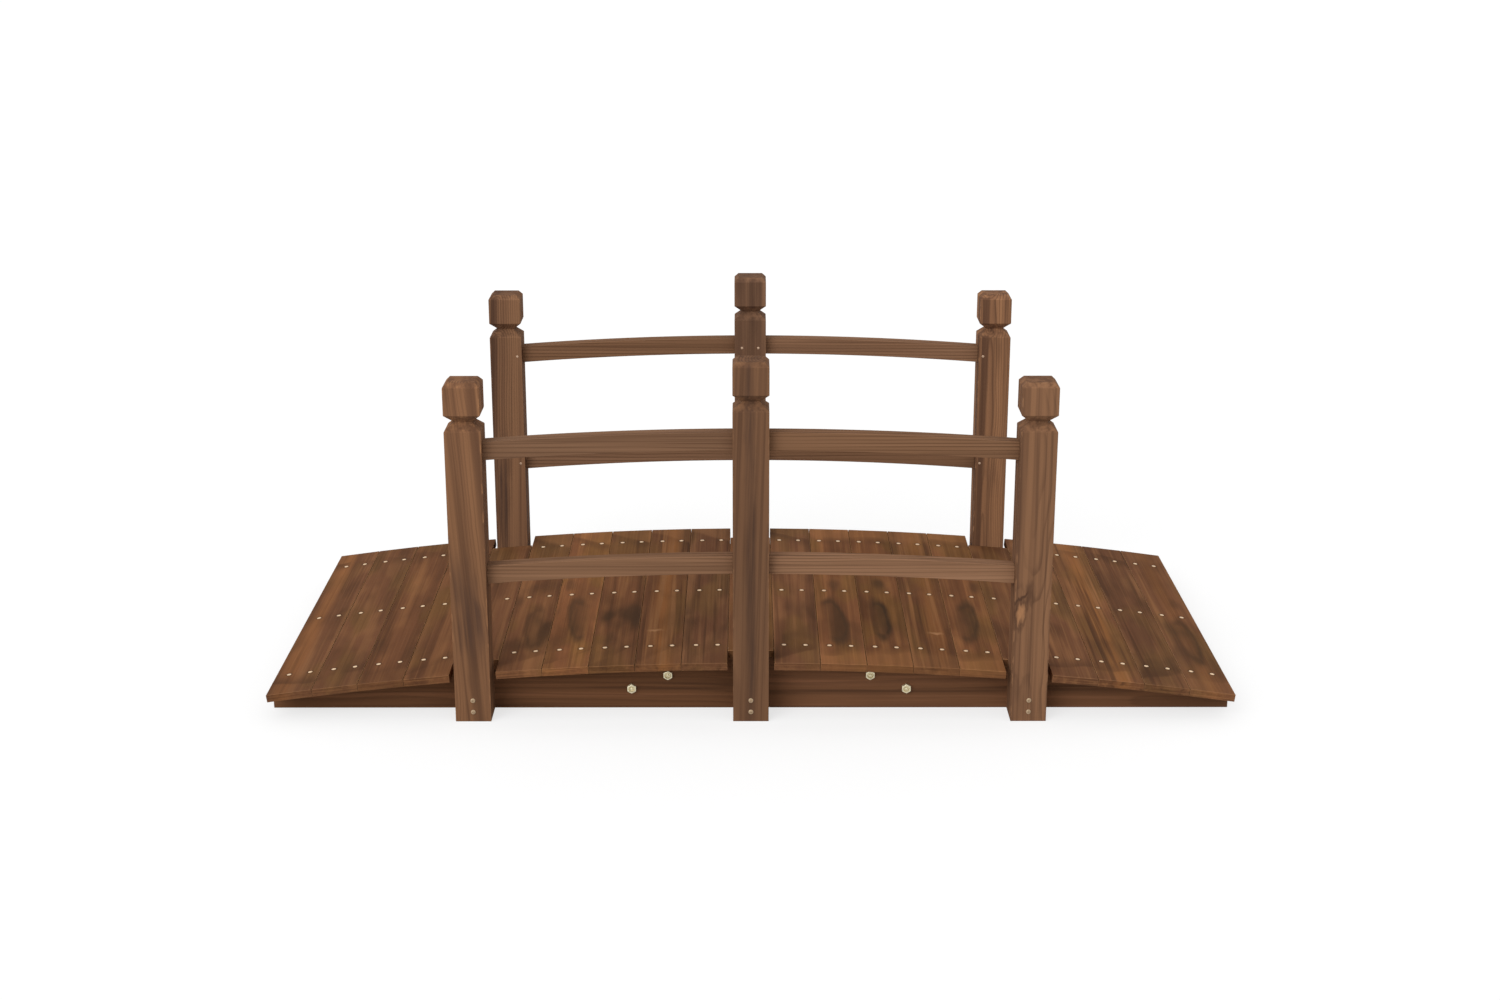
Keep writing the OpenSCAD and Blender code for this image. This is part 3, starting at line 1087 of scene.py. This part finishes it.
class BRIDGE_OT_fit_bolts(bpy.types.Operator):
    """Bolt the splice plates to the stringers"""

    bl_idname = "bridge.fit_bolts"
    bl_label = "Fit splice bolts"

    def execute(self, context):
        sizes = context.scene.bridge_fasteners
        shank = sizes.bolt_flats * SHANK_SHARE
        head = hexagon(sizes.bolt_flats, sizes.bolt_head)
        nut = joined(
            washer(sizes.bolt_flats * WASHER_SHARE, WASHER_THICKNESS),
            hexagon(sizes.bolt_flats, sizes.bolt_head, WASHER_THICKNESS),
            threaded_end(shank, THREAD_START, WASHER_THICKNESS + sizes.bolt_head + THREAD_OVERHANG),
        )
        heads = []
        nuts = []
        for row in ROWS:
            low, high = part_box(f"{row}_stringer_left")
            plate_low, plate_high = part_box(f"{row}_splice_plate")
            joint_x = high.x
            back = plate_low.y > low.y
            head_y, nut_y = (low.y, plate_high.y) if back else (high.y, plate_low.y)
            outward = -1 if back else 1
            for side in (-1, 1):
                for reach, z in (
                    (sizes.bolt_inner, sizes.bolt_inner_z),
                    (sizes.bolt_outer, sizes.bolt_outer_z),
                ):
                    x = joint_x + side * reach
                    heads.append(upright((x, head_y, z), (0, outward, 0)))
                    nuts.append(upright((x, nut_y, z), (0, -outward, 0)))
        metal = plated_metal("bolt_zinc", sizes.bolt_colour, metallic=0.55, roughness=0.3)
        place_copies("splice_bolt_heads", head, heads, metal)
        place_copies("splice_bolt_nuts", nut, nuts, metal)
        return {"FINISHED"}


class BRIDGE_OT_set_stage(bpy.types.Operator):
    """Lay the floor, light the bridge and set the camera"""

    bl_idname = "bridge.set_stage"
    bl_label = "Set stage"

    def execute(self, context):
        stage = context.scene.bridge_stage
        self.lay_floor(stage)
        self.light(context.scene, stage)
        camera = bpy.data.objects.new("camera", bpy.data.cameras.new("camera"))
        context.scene.collection.objects.link(camera)
        camera.location = stage.eye
        camera.rotation_euler = (math.pi / 2 - stage.pitch, 0, -stage.yaw)
        camera.data.sensor_width = SENSOR_WIDTH
        camera.data.lens = stage.lens
        context.scene.camera = camera
        context.scene.view_settings.view_transform = "Standard"
        return {"FINISHED"}

    def lay_floor(self, stage):
        """A pale floor, white to the camera but for the shadow, that lets light through under the bridge."""
        mesh = bpy.data.meshes.new("floor")
        shape = bmesh.new()
        bmesh.ops.create_grid(shape, x_segments=1, y_segments=1, size=FLOOR_REACH)
        shape.to_mesh(mesh)
        shape.free()
        floor = bpy.data.objects.new("floor", mesh)
        bpy.context.scene.collection.objects.link(floor)
        graph = Graph(bpy.data.materials.new("floor"))
        seen = self.seen(graph)
        shade = graph.node("ShaderNodeCombineColor", None, {axis: 0.5 + 0.5 * seen for axis in range(3)})
        pale = graph.node("ShaderNodeBsdfDiffuse", None, {"Color": shade})
        white = graph.node("ShaderNodeEmission", None, {"Strength": 1.0})
        place = graph.split(graph.node("ShaderNodeTexCoord", output="Object"))
        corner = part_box("rear_stringer_right")[1]
        under_x = graph.smooth(abs(place[0]), corner.x, corner.x - FLOOR_SOFT_EDGE)
        under_y = graph.smooth(abs(place[1]), corner.y, corner.y - FLOOR_SOFT_EDGE)
        under = under_x * under_y
        glow = seen * (1 - under) * stage.floor_glow
        top = graph.node("ShaderNodeMixShader", None, {0: glow, 1: pale, 2: white})
        below = graph.node("ShaderNodeNewGeometry", output="Backfacing")
        open_share = graph.math("MAXIMUM", below, under * (1 - seen))
        clear = graph.node("ShaderNodeBsdfTransparent")
        graph.surface(graph.node("ShaderNodeMixShader", None, {0: open_share, 1: top, 2: clear}))
        mesh.materials.append(graph.owner)

    def light(self, scene, stage):
        """A soft key light from the front and light from all round."""
        sun = bpy.data.lights.new("key_light", "SUN")
        sun.energy = stage.key_strength
        sun.angle = stage.key_spread
        key = bpy.data.objects.new("key_light", sun)
        scene.collection.objects.link(key)
        key.rotation_euler = (math.pi / 2 - stage.key_height, 0, -stage.key_side)
        scene.world = bpy.data.worlds.new("studio")
        graph = Graph(scene.world)
        strength = stage.fill_strength + (1 - stage.fill_strength) * self.seen(graph)
        graph.surface(graph.node("ShaderNodeBackground", None, {"Color": (1, 1, 1, 1), "Strength": strength}))

    def seen(self, graph):
        """1 for what the camera sees straight, in a reflection or through glass."""
        kinds = ("Is Camera Ray", "Is Glossy Ray", "Is Transmission Ray")
        camera, glossy, glass = [graph.node("ShaderNodeLightPath", output=kind) for kind in kinds]
        return graph.math("MAXIMUM", camera, graph.math("MAXIMUM", glossy, glass))


class BRIDGE_PT_panel(bpy.types.Panel):
    """Steps and settings of the garden bridge"""

    bl_label = "Garden Bridge"
    bl_space_type = "VIEW_3D"
    bl_region_type = "UI"
    bl_category = "Bridge"

    def draw(self, context):
        for step in STEPS:
            self.layout.operator(step.bl_idname)
        for group_name in GROUPS:
            group = getattr(context.scene, group_name)
            box = self.layout.box()
            for name in group.__annotations__:
                box.prop(group, name)


GROUPS = {"bridge_wood": BridgeWood, "bridge_fasteners": BridgeFasteners, "bridge_stage": BridgeStage}
STEPS = (
    BRIDGE_OT_finish_deck,
    BRIDGE_OT_finish_posts,
    BRIDGE_OT_finish_rails,
    BRIDGE_OT_finish_stringers,
    BRIDGE_OT_drive_deck_nails,
    BRIDGE_OT_drive_rail_nails,
    BRIDGE_OT_drive_foot_screws,
    BRIDGE_OT_fit_bolts,
    BRIDGE_OT_set_stage,
)


def register():
    """Registers the settings, the steps and the panel."""
    for name, group in GROUPS.items():
        bpy.utils.register_class(group)
        setattr(bpy.types.Scene, name, PointerProperty(type=group))
    for kind in STEPS + (BRIDGE_PT_panel,):
        bpy.utils.register_class(kind)


def unregister():
    """Takes the settings, the steps and the panel out again."""
    for kind in reversed(STEPS + (BRIDGE_PT_panel,)):
        bpy.utils.unregister_class(kind)
    for name, group in GROUPS.items():
        delattr(bpy.types.Scene, name)
        bpy.utils.unregister_class(group)


def main():
    """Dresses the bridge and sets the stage."""
    register()
    bpy.ops.bridge.finish_deck()
    bpy.ops.bridge.finish_posts()
    bpy.ops.bridge.finish_rails()
    bpy.ops.bridge.finish_stringers()
    bpy.ops.bridge.drive_deck_nails()
    bpy.ops.bridge.drive_rail_nails()
    bpy.ops.bridge.drive_foot_screws()
    bpy.ops.bridge.fit_bolts()
    bpy.ops.bridge.set_stage()


if __name__ == "__main__":
    main()
